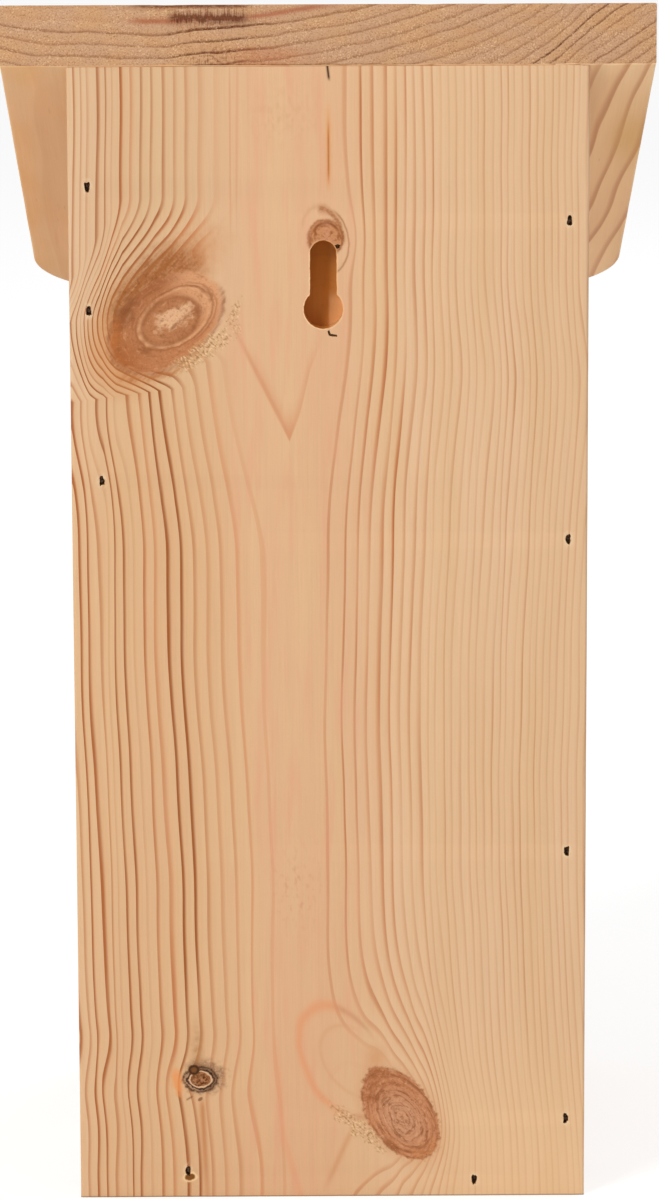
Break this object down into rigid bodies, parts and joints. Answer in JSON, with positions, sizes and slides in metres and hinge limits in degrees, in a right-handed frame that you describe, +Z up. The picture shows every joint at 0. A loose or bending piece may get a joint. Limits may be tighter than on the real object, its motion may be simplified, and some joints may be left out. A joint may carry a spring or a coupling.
{
  "type": "hanging nest box for small birds",
  "caption": "Nest box of planed pine boards with a sloping overhanging roof, a round entrance hole in front and a keyhole hanger routed into its back panel.",
  "frame": {"origin": "on the ground under the centre of the whole box and its roof, at the bottom centre of the bounding box", "axes": "+Z up; -Y is the front, with the entrance hole; +Y is the back, with the keyhole hanger; +X is the right-hand side seen from the front"},
  "size_m": [0.188, 0.1932, 0.3536],
  "materials": {
    "wall_boards": "planed bare pine with knots, matte",
    "roof_board": "planed bare pine, rough sawn end grain, matte",
    "pins": "dull grey wire, sunk below the surface"
  },
  "bodies": {
    "root": {"back_panel": "wall_boards", "front_panel": "wall_boards", "left_side": "wall_boards", "right_side": "wall_boards", "floor_board": "wall_boards", "roof_board": "roof_board", "back_left_pins": "pins", "back_right_pins": "pins", "back_floor_pins": "pins", "front_left_pins": "pins", "front_right_pins": "pins", "front_floor_pins": "pins", "left_floor_pins": "pins", "right_floor_pins": "pins", "roof_back_pins": "pins", "roof_left_pins": "pins", "roof_right_pins": "pins", "roof_front_pins": "pins"}
  },
  "joints": []
}
